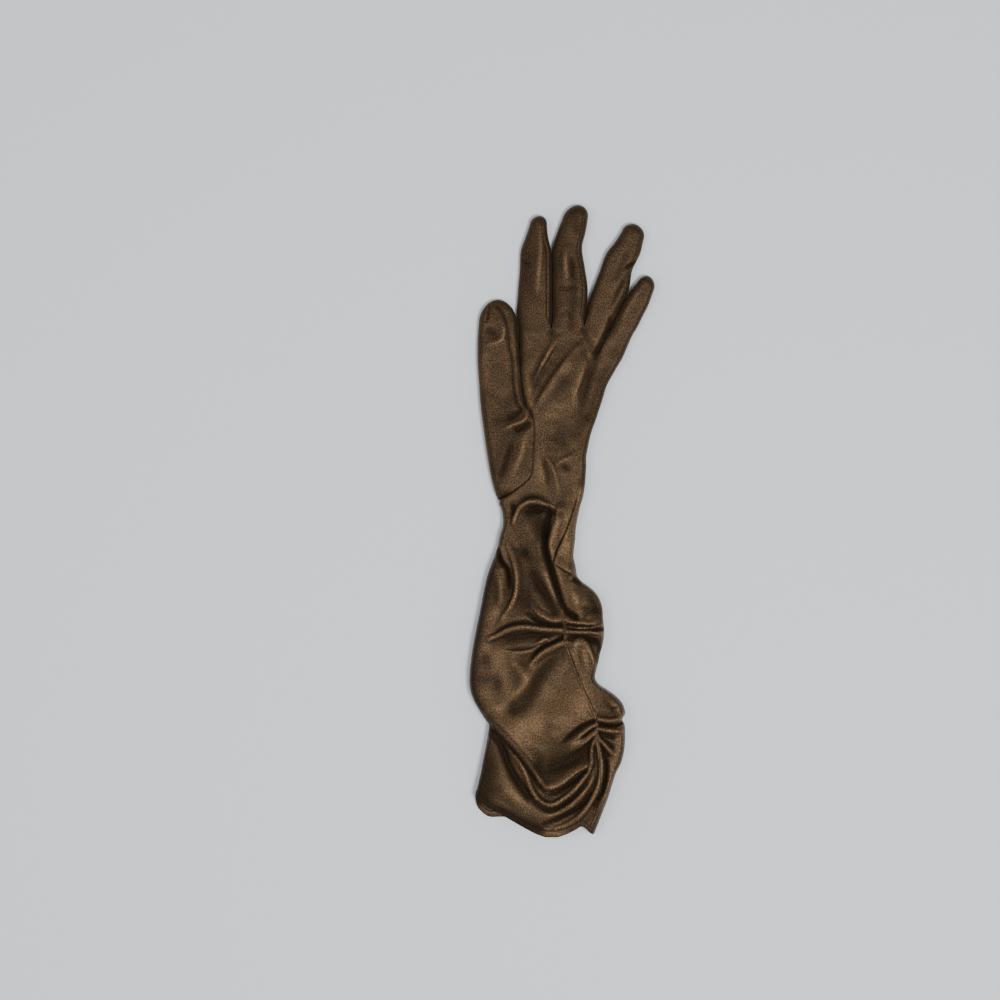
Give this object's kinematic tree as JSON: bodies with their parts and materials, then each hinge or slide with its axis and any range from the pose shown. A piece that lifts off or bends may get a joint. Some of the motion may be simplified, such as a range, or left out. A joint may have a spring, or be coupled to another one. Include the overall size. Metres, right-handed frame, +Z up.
{
  "type": "ruched glove",
  "caption": "Dress glove for the left hand in satin knit, lying palm up, with side strips between the fingers, a set-in thumb and a long arm ruched along its seam.",
  "frame": {"origin": "bottom centre of the bounding box, on the surface that the glove lies on", "axes": "+Y towards the fingertips, +Z up out of the palm, +X towards the little finger's side"},
  "size_m": [0.1201, 0.4097, 0.0199],
  "materials": {
    "satin_knit": "dark brown satin knit, soft sheen"
  },
  "bodies": {
    "root": {"palm_panel": "satin_knit", "back_panel": "satin_knit", "thumb": "satin_knit", "fourchette_index_middle": "satin_knit", "fourchette_middle_ring": "satin_knit", "fourchette_ring_little": "satin_knit", "hem_band": "satin_knit"}
  },
  "joints": []
}
